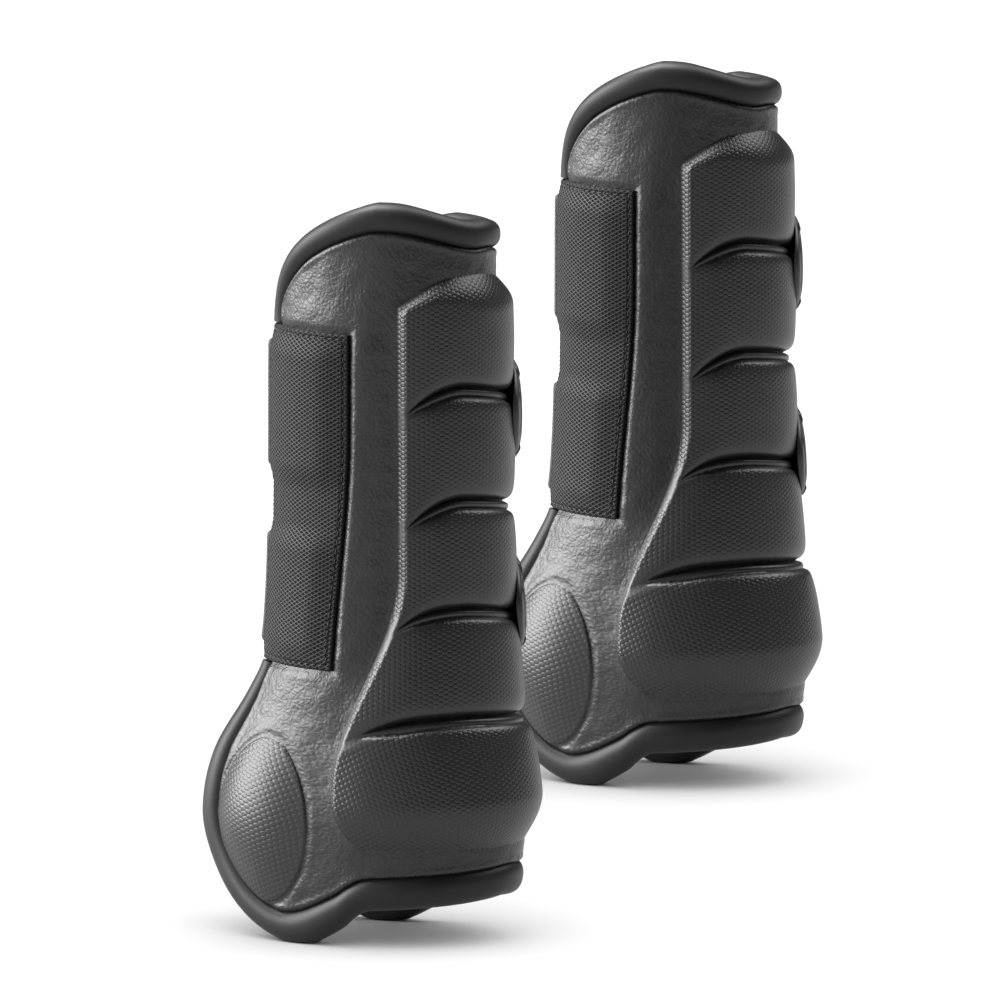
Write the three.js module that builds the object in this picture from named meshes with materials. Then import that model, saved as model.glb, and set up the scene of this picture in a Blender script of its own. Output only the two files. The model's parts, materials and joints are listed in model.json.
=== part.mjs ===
// A pair of tendon boots for a horse's forelegs: moulded open-front shells with ribbed tendon pads,
// fetlock cups, rolled rims and two hook-and-loop straps each. Millimetres.
// Each boot is modelled about the axis of the leg: +X is the back of the leg, -Y the inner side where
// the straps are sewn on, +Y the outer side where they fasten, +Z up. The floor is z = 0.
import * as THREE from 'three';

// ---- driving dimensions -------------------------------------------------------------------------
// Half sizes of the oval outer face of the shell at a few heights: [height, half size].
const FRONT_REACH = [[0, 61], [20, 66], [40, 69.5], [60, 64.5], [80, 50], [92, 43.2], [112, 40.6],
  [150, 39.6], [205, 39.2], [246, 37.5]];
const BACK_REACH = [[0, 41], [18, 43.5], [34, 46.3], [52, 45], [75, 41], [100, 38.3], [130, 37], [222, 36],
  [246, 36]];
const SIDE_REACH = [[0, 34], [25, 37], [45, 38], [75, 35.5], [100, 32.8], [130, 31.5], [220, 31], [246, 30]];

const EDGE_ANGLE = 152; // front edge of the shell, in degrees round the leg from its back
const RIM_ANGLE = 138; // where the rim along the front edge meets the shell
const PATCH_BOTTOM = 91;
const PATCH_TOP = 203.8;
const JOINT_GAP = 0.3; // glue line between two pieces

const TOP_BACK = 240.5;
const TOP_INNER_SIDE = 247.2; // top of the rim on the inner side, its highest place
const TOP_OUTER_SIDE = 238.2;
const SHOULDER_ANGLE = 72; // where the top edge starts to drop to the front edge
const SHOULDER_ROUNDING = 1.5;
const RIM_WIDTH = 9.5;

const LOBE_FRONT = 40; // height where the front edge starts to round under the fetlock lobe
const LOBE_ANGLE = 107; // lowest place of the lobe, on the floor
const LOBE_ROUNDING = 1.2;
const LOBE_BACK_ANGLE = 73; // behind this the bottom edge is nearly level
const BOTTOM_LOBE_BACK = 13.5;
const BOTTOM_BACK = 16.8;
const LOWER_RIM_WIDTH = 9.7;
const LOBE_FLAT = 1.6; // how much of the lobe's rim the floor flattens

const SHELL_WALL = 2.5;
const FOAM_INSIDE = 7.7; // depth below the shell's outer face
const LINING_INSIDE = 9;

const RIB_ANGLE = 60; // side edge of the ribbed tendon pad on the cannon
const RIB_SPREAD = 30; // how much further round the pad reaches at the fetlock
const RIB_RELIEF = 5.3;
const BULGE_RELIEF = 6.1;
const RIB_TOP = 223;
const RIB_BOTTOM = 32;
const RIB_UNDERSIDE = 1.2; // clear of the shell's outer face
const RIB_EDGE = 2.1; // height of a rib's outer face along its border
const RIB_GAP = 0.2; // each side of a groove
// A rib's face slopes down over these shares of its width and height, to this share of its relief.
const RIB_SLOPE = { side: 0.12, end: 0.22, low: 0.25 };
const SPREAD_START = 125; // height where the pad starts to widen towards the fetlock
const SPREAD_HEIGHT = 70;
const BULGE_TAPER = { from: 50, to: 32, by: 11 }; // the fetlock bulge narrows again towards its lower end
// The pad's top edge is level between these angles, and falls away to both sides.
const PAD_TOP = { inner: -20, outer: -10, drop: 10, innerBend: 2, outerBend: 1.7 };
// Grooves between the ribs. Each arches over the pad, highest on the inner side at PEAK_ANGLE, and drops
// to the pad's inner and outer side. A higher bend keeps it level for longer on the inner side.
const PEAK_ANGLE = -25;
const OUTER_BEND = 1.3;
const GROOVES = [
  { peak: 186.2, inner: 11, outer: 10.5, bend: 2 },
  { peak: 149.1, inner: 12, outer: 8, bend: 2 },
  { peak: 112.8, inner: 6.7, outer: 9, bend: 3 },
  { peak: 76.8, inner: 1.8, outer: 5.4, bend: 3 },
];

const FETLOCK_PAD = { angle: 117.5, height: 40, halfAngle: 19, halfHeight: 28, relief: 3.2 };

const STRAPS = [
  { name: 'upper', height: 176.5, tipHeight: 174, half: 20.5, tipHalf: 17.5 },
  { name: 'lower', height: 115, tipHeight: 109, half: 18, tipHalf: 17 },
];
const STRAP_THICKNESS = 2.2;
// Height of a strap's underside: at its sewn root, over the outer side's loop tape, and on the tendon pad.
const STRAP_LIFT = { root: 0.8, tape: 3.6, pad: 6.3 };
const LIFT_RUN = 55; // degrees over which the elastic rises from its root to the tape's height
const STEP_ONTO_PAD = { start: 58, run: 18 };
const ROOT_RISE = 3; // width of the patch's slope beside a strap's root
const STRAP_TIP = 18; // angle where the strap's rounded tip ends
const TIP_START = 34;
const TAB_START = 150.2;
const ELASTIC_START = 153.6;
const ELASTIC_END = 208;

// Tapes on the outer side, from and to an angle; margin is how far each stays inside the strap's width.
const HOOK_TAPE = { from: 86, to: 136, under: 2.2, over: 3.3, margin: 2 };
const LOOP_TAPE = { from: 80, to: 137, under: 0.8, over: 1.8, margin: -1 };
const TIP_GRIP = { under: 5.9, over: 8.1 };
const ROOT = { inside: 1, end: -112, margin: 0.5, under: 0.7, over: 1.9 }; // sewn strap end under the patch
const PATCH = { under: 0.75, over: 1.7, underOnRoot: 2.3, overOnRoot: 3.2 };
const SHELL_MARGIN = 1.5; // how far the shell stays inside its rims
const PADDING_MARGIN = 1.7;

const SECOND_BOOT = [-97.3, 358.4]; // place of the second boot beside the first

// ---- materials ----------------------------------------------------------------------------------
const material = (color, roughness, metalness = 0) =>
  new THREE.MeshStandardMaterial({ color, roughness, metalness });
const moulding = material(0x2e2e2f, 0.5);
const foam = material(0x232324, 0.9);
const lining = material(0x1c1c1d, 0.85);
const mesh = material(0x1f1f20, 0.8);
const webbing = material(0x1a1a1b, 0.85);
const loopTape = material(0x141415, 0.95);
const rubber = material(0x161617, 0.55);

// ---- the oval surface of the boot ---------------------------------------------------------------
const radians = (degrees) => (degrees * Math.PI) / 180;
const mix = (a, b, t) => a + (b - a) * t;
const clamp01 = (t) => Math.min(1, Math.max(0, t));
const smooth = (t) => clamp01(t) ** 2 * (3 - 2 * clamp01(t));

// A smooth curve through [height, value] pairs.
function along(keys, z) {
  const last = keys.length - 1;
  const at = Math.min(Math.max(z, keys[0][0]), keys[last][0]);
  let i = 0;
  while (i < last - 1 && keys[i + 1][0] < at) i += 1;
  const slope = (k) => {
    const [a, b] = [keys[Math.max(k - 1, 0)], keys[Math.min(k + 1, last)]];
    return (b[1] - a[1]) / (b[0] - a[0]);
  };
  const [[z0, v0], [z1, v1]] = [keys[i], keys[i + 1]];
  const span = z1 - z0;
  const t = (at - z0) / span;
  const [t2, t3] = [t * t, t * t * t];
  return (2 * t3 - 3 * t2 + 1) * v0 + (t3 - 2 * t2 + t) * span * slope(i)
    + (3 * t2 - 2 * t3) * v1 + (t3 - t2) * span * slope(i + 1);
}

function facePoint(angle, z) {
  const a = radians(angle);
  const reach = along(Math.cos(a) < 0 ? FRONT_REACH : BACK_REACH, z);
  return new THREE.Vector3(reach * Math.cos(a), along(SIDE_REACH, z) * Math.sin(a), z);
}

function faceNormal(angle, z) {
  const round = facePoint(angle + 0.5, z).sub(facePoint(angle - 0.5, z));
  const up = facePoint(angle, z + 0.5).sub(facePoint(angle, z - 0.5));
  return round.cross(up).normalize();
}

// The point at depth or height `lift` from the shell's outer face.
const lifted = (angle, z, lift) => facePoint(angle, z).addScaledVector(faceNormal(angle, z), lift);

// ---- outline of the shell -----------------------------------------------------------------------
// Inner side is the negative half. `inset` 0 is the outer edge of the rim, 1 where it meets the shell.
function topEdge(angle, inset) {
  const side = Math.abs(angle);
  const level = angle < 0
    ? mix(TOP_BACK, TOP_INNER_SIDE, smooth((side - 5) / 62))
    : mix(TOP_BACK, TOP_OUTER_SIDE, smooth(side / 40));
  const start = mix(EDGE_ANGLE, RIM_ANGLE, inset) - SHOULDER_ANGLE;
  const drop = clamp01((side - SHOULDER_ANGLE) / start);
  const height = level - inset * RIM_WIDTH - PATCH_TOP;
  return PATCH_TOP + height * Math.sqrt(Math.max(0, 1 - drop ** (2 / SHOULDER_ROUNDING)));
}

function bottomEdge(angle, inset) {
  const side = Math.abs(angle);
  const floor = inset * LOWER_RIM_WIDTH - (1 - inset) * LOBE_FLAT;
  const lobe = LOBE_ANGLE + 3 * inset;
  if (side > lobe) {
    const reach = mix(EDGE_ANGLE, RIM_ANGLE, inset) - lobe;
    const forward = clamp01((side - lobe) / reach);
    const rise = 1 - Math.sqrt(Math.max(0, 1 - forward ** (2 / LOBE_ROUNDING)));
    return mix(floor, LOBE_FRONT + 3 * inset, rise);
  }
  if (side > LOBE_BACK_ANGLE) {
    return floor + BOTTOM_LOBE_BACK * smooth((lobe - side) / (lobe - LOBE_BACK_ANGLE));
  }
  return floor + mix(BOTTOM_BACK, BOTTOM_LOBE_BACK, side / LOBE_BACK_ANGLE);
}

// ---- meshes -------------------------------------------------------------------------------------
function solid(points, faces) {
  const from = (p) => points[p].clone().sub(points[0]);
  const volume = faces.reduce((sum, [p, q, r]) => sum + from(p).dot(from(q).cross(from(r))), 0);
  if (volume < 0) faces.forEach((face) => face.reverse()); // faces look outward
  const geometry = new THREE.BufferGeometry();
  geometry.setAttribute('position', new THREE.Float32BufferAttribute(points.flatMap((p) => p.toArray()), 3));
  geometry.setIndex(faces.flat());
  geometry.computeVertexNormals();
  return geometry;
}

// A curved slab over the patch at(a, b) -> [angle, z], between two heights from the shell's face.
function slab({ across, up, at, under, over }) {
  const points = [];
  for (const height of [over, under]) {
    for (const b of up) {
      for (const a of across) {
        const [angle, z] = at(a, b);
        points.push(lifted(angle, z, height(a, b, angle, z)));
      }
    }
  }
  const [nx, ny] = [across.length, up.length];
  const id = (layer, i, j) => layer * nx * ny + j * nx + i;
  const faces = [];
  for (let j = 0; j < ny - 1; j += 1) {
    for (let i = 0; i < nx - 1; i += 1) {
      const [p, q, r, s] = [id(0, i, j), id(0, i + 1, j), id(0, i + 1, j + 1), id(0, i, j + 1)];
      faces.push([p, q, r], [p, r, s]);
      const back = nx * ny;
      faces.push([p + back, r + back, q + back], [p + back, s + back, r + back]);
    }
  }
  const rim = [];
  for (let i = 0; i < nx - 1; i += 1) rim.push([i, 0]);
  for (let j = 0; j < ny - 1; j += 1) rim.push([nx - 1, j]);
  for (let i = nx - 1; i > 0; i -= 1) rim.push([i, ny - 1]);
  for (let j = ny - 1; j > 0; j -= 1) rim.push([0, j]);
  rim.forEach(([i, j], k) => {
    const [m, n] = rim[(k + 1) % rim.length];
    faces.push([id(0, i, j), id(1, i, j), id(1, m, n)], [id(0, i, j), id(1, m, n), id(0, m, n)]);
  });
  return solid(points, faces);
}

// A bar through rings of points, closed at both ends.
function bar(rings) {
  const n = rings[0].length;
  const points = rings.flat();
  const faces = [];
  for (let k = 0; k < rings.length - 1; k += 1) {
    for (let i = 0; i < n; i += 1) {
      const [p, q] = [k * n + i, k * n + ((i + 1) % n)];
      faces.push([p, q, q + n], [p, q + n, p + n]);
    }
  }
  const end = (rings.length - 1) * n;
  for (let i = 1; i < n - 1; i += 1) {
    faces.push([0, i + 1, i], [end, end + i, end + i + 1]);
  }
  return solid(points, faces);
}

// A domed pad with an oval outline.
function pad(side, { angle, height, halfAngle, halfHeight, relief }) {
  const spokes = 20;
  // The oval is trimmed along the rim.
  const outline = (r, k, lift) => {
    const turn = (k / spokes) * 2 * Math.PI;
    const round = Math.min(angle + halfAngle * Math.cos(turn), RIM_ANGLE - 1.2);
    const z = Math.max(height + halfHeight * Math.sin(turn), bottomEdge(round, 1) + 1.2);
    return lifted(side * mix(angle, round, r), mix(height, z, r), lift);
  };
  const rings = [0.5, 0.85, 1];
  const points = [lifted(side * angle, height, 1.8 + relief)];
  for (const r of rings) {
    for (let k = 0; k < spokes; k += 1) {
      const lift = 1.8 + relief * (1 - r ** 2);
      points.push(outline(r, k, lift));
    }
  }
  const outer = points.length;
  for (let k = 0; k < spokes; k += 1) points.push(outline(1, k, 1.2));
  points.push(lifted(side * angle, height, 1.3));
  const faces = [];
  const ring = (r, k) => 1 + r * spokes + (k % spokes);
  for (let k = 0; k < spokes; k += 1) {
    faces.push([0, ring(0, k), ring(0, k + 1)]);
    for (let r = 0; r < rings.length; r += 1) {
      const [p, q] = [ring(r, k), ring(r, k + 1)];
      const [s, t] = [ring(r + 1, k), ring(r + 1, k + 1)];
      faces.push([p, s, t], [p, t, q]);
    }
    faces.push([points.length - 1, outer + ((k + 1) % spokes), outer + k]);
  }
  return solid(points, faces);
}

const steps = (n, from = 0, to = 1) => Array.from({ length: n + 1 }, (_, i) => mix(from, to, i / n));

// ---- the wall: shell, foam and lining -----------------------------------------------------------
const WALL_LEVELS = [0, 0.06, 0.12, 0.19, 0.26, 0.34, 0.45, 0.62, 0.8, 0.93, 1];
// Columns crowd towards the front edges, where the outline is steep.
const WALL_ANGLES = [0, 14, 29, 44, 58, 73, 84, 95, 104, 113, 121, 128, 133.5, 137.4];

function wall(outside, inside, margin) {
  const end = WALL_ANGLES[WALL_ANGLES.length - 1];
  const half = WALL_ANGLES.map((angle) => (angle / end) * (RIM_ANGLE - margin));
  const across = [...half.slice(1).reverse().map((angle) => -angle), ...half];
  const at = (angle, b) => {
    const low = bottomEdge(angle, 1) + margin;
    const high = topEdge(angle, 1) - margin;
    return [angle, mix(low, high, b)];
  };
  return slab({ across, up: WALL_LEVELS, at, over: () => -outside, under: () => -inside });
}

// ---- rims and front edges -----------------------------------------------------------------------
// Section of the rolled rim: [share of the way out from the shell, height from the shell's face].
// Its lip laps over the edge of the shell.
const RIM_SECTION = [[0.1, 1.5], [0.62, 1.8], [0.93, -0.6], [1, -4], [0.93, -7.6], [0.62, -9.4], [0.25, -9.4],
  [0, -8.2], [0, 0.7], [-0.2, 0.7]];
const EDGE_SECTION = [[0, -9], [0, 0], [0.7, 0], [1, -2.5], [1, -6.5], [0.7, -9]];

// Bars go from the inner side's front edge to the outer side's; `outline` gives both edges of the rim.
// Nothing reaches below the floor.
function rimBar(stations, section) {
  const place = ({ out, inn }, [share, lift]) => {
    const point = lifted(mix(inn[0], out[0], share), mix(inn[1], out[1], share), lift);
    point.z = Math.max(point.z, 0);
    return point;
  };
  return bar(stations.map((station) => section.map((corner) => place(station, corner))));
}

function shoulderStations(side) {
  return steps(7, 0, 90).map((turn) => {
    const [c, s] = [Math.cos(radians(turn)) ** SHOULDER_ROUNDING, Math.sin(radians(turn))];
    const station = (inset) => {
      const reach = mix(EDGE_ANGLE, RIM_ANGLE, inset) - SHOULDER_ANGLE;
      const top = topEdge(side * SHOULDER_ANGLE, inset);
      return [side * (SHOULDER_ANGLE + reach * c), mix(PATCH_TOP + JOINT_GAP, top, s)];
    };
    return { out: station(0), inn: station(1) };
  });
}

function upperRim() {
  const back = steps(12, -SHOULDER_ANGLE, SHOULDER_ANGLE).slice(1, -1)
    .map((angle) => ({ out: [angle, topEdge(angle, 0)], inn: [angle, topEdge(angle, 1)] }));
  return rimBar([...shoulderStations(-1), ...back, ...shoulderStations(1).reverse()], RIM_SECTION);
}

function lobeStations(side) {
  const straight = steps(3, PATCH_BOTTOM - JOINT_GAP, LOBE_FRONT + 2).slice(0, -1)
    .map((z) => ({ out: [side * EDGE_ANGLE, z], inn: [side * RIM_ANGLE, z] }));
  const front = steps(6, 0, 90).map((turn) => {
    const [c, s] = [Math.cos(radians(turn)) ** LOBE_ROUNDING, Math.sin(radians(turn))];
    const station = (inset) => {
      const lobe = LOBE_ANGLE + 3 * inset;
      const reach = mix(EDGE_ANGLE, RIM_ANGLE, inset) - lobe;
      const low = bottomEdge(lobe, inset);
      return [side * (lobe + reach * c), mix(LOBE_FRONT + 3 * inset, low, s)];
    };
    return { out: station(0), inn: station(1) };
  });
  const rear = steps(5, 0, 1).slice(1).map((t) => {
    const station = (inset) => {
      const angle = mix(LOBE_ANGLE + 3 * inset, LOBE_BACK_ANGLE, t);
      return [side * angle, bottomEdge(angle, inset)];
    };
    return { out: station(0), inn: station(1) };
  });
  return [...straight, ...front, ...rear];
}

function lowerRim() {
  const back = steps(8, -LOBE_BACK_ANGLE, LOBE_BACK_ANGLE).slice(1, -1)
    .map((angle) => ({ out: [angle, bottomEdge(angle, 0)], inn: [angle, bottomEdge(angle, 1)] }));
  const stations = [...lobeStations(-1), ...back, ...lobeStations(1).reverse()];
  return rimBar(stations.reverse(), RIM_SECTION);
}

function frontEdge(side) {
  const stations = steps(6, PATCH_BOTTOM + JOINT_GAP, PATCH_TOP - JOINT_GAP)
    .map((z) => ({ out: [side * EDGE_ANGLE, z], inn: [side * RIM_ANGLE, z] }));
  return rimBar(side < 0 ? stations : stations.reverse(), EDGE_SECTION);
}

// ---- tendon pad ---------------------------------------------------------------------------------
function padSide(z) {
  const { from, to, by } = BULGE_TAPER;
  if (z < from) return RIB_ANGLE + RIB_SPREAD - by * ((from - z) / (from - to)) ** 2;
  return RIB_ANGLE + RIB_SPREAD * smooth((SPREAD_START - z) / SPREAD_HEIGHT);
}
function groove({ peak, inner, outer, bend }, angle) {
  const past = angle - PEAK_ANGLE;
  if (past < 0) return peak - inner * (-past / (RIB_ANGLE + PEAK_ANGLE)) ** bend;
  return peak - outer * (past / (RIB_ANGLE - PEAK_ANGLE)) ** OUTER_BEND;
}
function padTop(angle) {
  const { inner, outer, drop, innerBend, outerBend } = PAD_TOP;
  if (angle < inner) return RIB_TOP - drop * ((inner - angle) / (inner + RIB_ANGLE)) ** innerBend;
  return RIB_TOP - drop * (Math.max(0, angle - outer) / (RIB_ANGLE - outer)) ** outerBend;
}

function rib(index) {
  const top = (angle) => (index === 0 ? padTop(angle) : groove(GROOVES[index - 1], angle) - RIB_GAP);
  const last = index === GROOVES.length;
  const bottom = (angle) => (last ? RIB_BOTTOM : groove(GROOVES[index], angle) + RIB_GAP);
  const relief = last ? BULGE_RELIEF : RIB_RELIEF;
  const middle = (top(RIB_ANGLE) + bottom(RIB_ANGLE)) / 2;
  const at = (a, b) => {
    let angle = mix(-1, 1, a) * padSide(middle);
    let z = middle;
    for (let pass = 0; pass < 8; pass += 1) {
      z = mix(bottom(angle), top(angle), b);
      angle = mix(-1, 1, a) * padSide(z);
    }
    return [angle, z];
  };
  const over = (a, b) => {
    const side = smooth(Math.min(a, 1 - a) / RIB_SLOPE.side);
    const end = Math.sqrt(clamp01(Math.min(b, 1 - b) / RIB_SLOPE.end));
    return RIB_EDGE + (relief - RIB_EDGE) * end * mix(RIB_SLOPE.low, 1, side);
  };
  return slab({
    across: [0, 0.05, 0.13, 0.25, 0.37, 0.5, 0.63, 0.75, 0.87, 0.95, 1],
    up: [0, 0.1, 0.3, 0.7, 0.9, 1],
    at,
    over,
    under: () => RIB_UNDERSIDE,
  });
}

// ---- strap patch, straps and tapes --------------------------------------------------------------
const patchSide = (z) => mix(93.5, 86, smooth((z - PATCH_BOTTOM) / 80));

// 1 over a strap's root, 0 away from it.
function overStrap(z) {
  return Math.max(...STRAPS.map((s) => clamp01((s.half + ROOT_RISE - Math.abs(z - s.height)) / ROOT_RISE)));
}

function patch() {
  const beside = ({ half }) => [-half - ROOT_RISE, -half, half, half + ROOT_RISE];
  const levels = STRAPS.flatMap((s) => beside(s).map((d) => s.height + d))
    .filter((z) => z > PATCH_BOTTOM + 1 && z < PATCH_TOP - 1).sort((p, q) => p - q);
  const heights = [PATCH_BOTTOM + 0.4, ...levels, PATCH_TOP - 0.4];
  return slab({
    across: [0, 0.17, 0.34, 0.51, 0.68, 0.72, 0.86, 1],
    up: steps(heights.length - 1),
    at: (a, b) => {
      const z = heights[Math.round(b * (heights.length - 1))];
      return [mix(-EDGE_ANGLE, -patchSide(z), a), z];
    },
    under: (a, b, angle, z) => mix(PATCH.under, PATCH.underOnRoot, overStrap(z) * (a < 0.7 ? 1 : 0)),
    over: (a, b, angle, z) => mix(PATCH.over, PATCH.overOnRoot, overStrap(z) * clamp01((1 - a) / 0.28)),
  });
}

// Height of the strap's centre line and half its width, at an angle counted on from the inner side.
function strapBand(strap, angle) {
  const share = clamp01((360 - ELASTIC_START - angle) / (360 - ELASTIC_START - STRAP_TIP));
  return { centre: mix(strap.height, strap.tipHeight, share), half: mix(strap.half, strap.tipHalf, share) };
}

function strapSlab(strap, from, to, columns, under, over, margin = 0) {
  return slab({
    across: steps(columns),
    up: [0, 0.5, 1],
    at: (a, b) => {
      const angle = mix(from, to, a);
      const { centre, half } = strapBand(strap, angle);
      return [angle, centre + mix(-1, 1, b) * (half - margin)];
    },
    under: (a, b, angle) => under(angle),
    over: (a, b, angle) => over(angle),
  });
}

const strapRoot = (strap) => slab({
  across: steps(4),
  up: [0, 0.5, 1],
  at: (a, b) => [
    mix(-EDGE_ANGLE + ROOT.inside, ROOT.end, a),
    strap.height + mix(-1, 1, b) * (strap.half - ROOT.margin),
  ],
  under: () => ROOT.under,
  over: () => ROOT.over,
});

// The elastic lies flat on the inner side's edge and stands clear of the outer side's loop tape.
const elasticUnder = (angle) =>
  mix(STRAP_LIFT.root, STRAP_LIFT.tape, smooth((360 - ELASTIC_START - angle) / LIFT_RUN));
const elastic = (strap) => strapSlab(strap, 360 - ELASTIC_END, 360 - ELASTIC_START, 8, elasticUnder,
  (angle) => elasticUnder(angle) + STRAP_THICKNESS);

// The tab steps up from the loop tape onto the tendon pad.
const tabUnder = (angle) =>
  mix(STRAP_LIFT.pad, STRAP_LIFT.tape, smooth((angle - STEP_ONTO_PAD.start) / STEP_ONTO_PAD.run));
const tab = (strap) => strapSlab(strap, TIP_START + 0.5, TAB_START, 12, tabUnder,
  (angle) => tabUnder(angle) + STRAP_THICKNESS);
const tape = (strap, columns, { from, to, under, over, margin }) => strapSlab(strap, from, to, columns,
  () => under, () => over, margin);

function tipGrip(strap) {
  return slab({
    across: [0, 0.12, 0.35, 0.7, 1],
    up: [0, 0.25, 0.75, 1],
    at: (a, b) => {
      const angle = mix(STRAP_TIP, TIP_START, a);
      const { centre, half } = strapBand(strap, angle);
      const round = Math.sqrt(1 - (1 - mix(0.12, 1, a)) ** 2);
      return [angle, centre + mix(-1, 1, b) * half * round];
    },
    under: () => TIP_GRIP.under,
    over: () => TIP_GRIP.over,
  });
}

// ---- assembly -----------------------------------------------------------------------------------
function boot(prefix) {
  const group = new THREE.Group();
  group.name = prefix;
  const add = (name, geometry, look) => {
    const piece = new THREE.Mesh(geometry, look);
    piece.name = `${prefix}_${name}`;
    group.add(piece);
  };
  add('outer_shell', wall(0, SHELL_WALL, SHELL_MARGIN), moulding);
  add('foam_liner', wall(SHELL_WALL + JOINT_GAP, FOAM_INSIDE, PADDING_MARGIN), foam);
  add('inner_lining', wall(FOAM_INSIDE + JOINT_GAP, LINING_INSIDE, PADDING_MARGIN), lining);
  add('upper_rim', upperRim(), moulding);
  add('lower_rim', lowerRim(), moulding);
  add('medial_front_edge', frontEdge(-1), moulding);
  add('lateral_front_edge', frontEdge(1), moulding);
  for (let i = 0; i < GROOVES.length; i += 1) add(`tendon_rib_${i + 1}`, rib(i), moulding);
  add('fetlock_bulge', rib(GROOVES.length), moulding);
  add('medial_fetlock_pad', pad(-1, FETLOCK_PAD), moulding);
  add('lateral_fetlock_pad', pad(1, FETLOCK_PAD), moulding);
  add('mesh_patch', patch(), mesh);
  for (const strap of STRAPS) {
    add(`${strap.name}_strap_root`, strapRoot(strap), webbing);
    add(`${strap.name}_strap_elastic`, elastic(strap), webbing);
    add(`${strap.name}_strap_tab`, tab(strap), rubber);
    add(`${strap.name}_hook_tape`, tape(strap, 6, HOOK_TAPE), loopTape);
    add(`${strap.name}_tip_grip`, tipGrip(strap), rubber);
    add(`${strap.name}_loop_tape`, tape(strap, 8, LOOP_TAPE), loopTape);
  }
  return group;
}

// The origin is under the middle of the pair, on the floor.
const pair = new THREE.Group();
const first = boot('boot1');
const second = boot('boot2');
second.position.set(...SECOND_BOOT, 0);
pair.add(first, second);
const box = new THREE.Box3().setFromObject(pair);
const middle = box.getCenter(new THREE.Vector3());
pair.position.set(-middle.x, -middle.y, -box.min.z);

const part = new THREE.Group();
part.add(pair);
export default part;
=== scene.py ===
import math

import bpy
import numpy as np
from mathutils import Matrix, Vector
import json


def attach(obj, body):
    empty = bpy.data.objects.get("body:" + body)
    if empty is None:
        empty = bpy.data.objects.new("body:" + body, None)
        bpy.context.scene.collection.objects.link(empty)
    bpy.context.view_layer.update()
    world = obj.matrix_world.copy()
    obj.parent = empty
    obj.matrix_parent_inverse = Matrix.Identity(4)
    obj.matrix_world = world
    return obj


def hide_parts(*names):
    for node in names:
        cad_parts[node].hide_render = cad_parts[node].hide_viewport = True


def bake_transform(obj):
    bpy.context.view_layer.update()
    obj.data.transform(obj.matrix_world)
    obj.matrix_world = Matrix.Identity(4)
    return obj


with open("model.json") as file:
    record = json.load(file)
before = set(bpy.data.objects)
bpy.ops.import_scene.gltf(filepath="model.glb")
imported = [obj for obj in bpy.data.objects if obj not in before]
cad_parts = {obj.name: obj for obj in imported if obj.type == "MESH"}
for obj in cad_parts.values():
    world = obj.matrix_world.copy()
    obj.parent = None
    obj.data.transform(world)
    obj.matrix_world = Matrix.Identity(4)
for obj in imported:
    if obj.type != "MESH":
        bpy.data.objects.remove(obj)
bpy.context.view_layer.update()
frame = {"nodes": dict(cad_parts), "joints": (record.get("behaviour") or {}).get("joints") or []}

MM = 0.001
BOOTS = ("boot1", "boot2")

# ---- sizes of the boot, in millimetres and degrees round the leg, as in the part's own source ----
FRONT_REACH = [(0, 61), (20, 66), (40, 69.5), (60, 64.5), (80, 50), (92, 43.2), (112, 40.6), (150, 39.6),
               (205, 39.2), (246, 37.5)]
BACK_REACH = [(0, 41), (18, 43.5), (34, 46.3), (52, 45), (75, 41), (100, 38.3), (130, 37), (222, 36),
              (246, 36)]
SIDE_REACH = [(0, 34), (25, 37), (45, 38), (75, 35.5), (100, 32.8), (130, 31.5), (220, 31), (246, 30)]
EDGE_ANGLE, RIM_ANGLE = 152, 138
PATCH_BOTTOM, PATCH_TOP = 91, 203.8
TOP_BACK, TOP_INNER_SIDE, TOP_OUTER_SIDE = 240.5, 247.2, 238.2
SHOULDER_ANGLE, SHOULDER_ROUNDING, RIM_WIDTH = 72, 1.5, 9.5
LOBE_FRONT, LOBE_ANGLE, LOBE_ROUNDING, LOBE_BACK_ANGLE = 40, 107, 1.2, 73
BOTTOM_LOBE_BACK, BOTTOM_BACK, LOWER_RIM_WIDTH, LOBE_FLAT = 13.5, 16.8, 9.7, 1.6
SHELL_WALL, FOAM_INSIDE, LINING_INSIDE = 2.5, 7.7, 9
RIB_ANGLE, RIB_SPREAD, RIB_RELIEF, BULGE_RELIEF = 60, 30, 5.3, 6.1
RIB_TOP, RIB_BOTTOM = 223, 32
PEAK_ANGLE, OUTER_BEND = -25, 1.3
# Grooves between the ribs, from the top: highest place, drops to the inner and outer side, bend.
GROOVES = [(186.2, 11, 10.5, 2), (149.1, 12, 8, 2), (112.8, 6.7, 9, 3), (76.8, 1.8, 5.4, 3)]
PAD_ANGLE, PAD_HEIGHT, PAD_HALF_ANGLE, PAD_HALF_HEIGHT = 117.5, 40, 19, 28
STRAPS = {
    "upper": {"height": 176.5, "tip_height": 174, "half": 20.5, "tip_half": 17.5},
    "lower": {"height": 115, "tip_height": 109, "half": 18, "tip_half": 17},
}
STRAP_TIP, TIP_START, TIP_ROUND, ELASTIC_START = 18, 34, 36, 153.6
HINGE_ANGLE, HINGE_LIFT = -152.8, 3.5  # the strap's swing hinge, which places the boot in the frame
EDGE_MM = 0.62  # arc of one degree near the boot's front, in mm
TURN = 6.283  # one turn, in radians


# ---- the oval surface of the boot ----
def smooth(t):
    t = np.clip(t, 0, 1)
    return t * t * (3 - 2 * t)


def mix(a, b, t):
    return a + (b - a) * t


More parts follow.
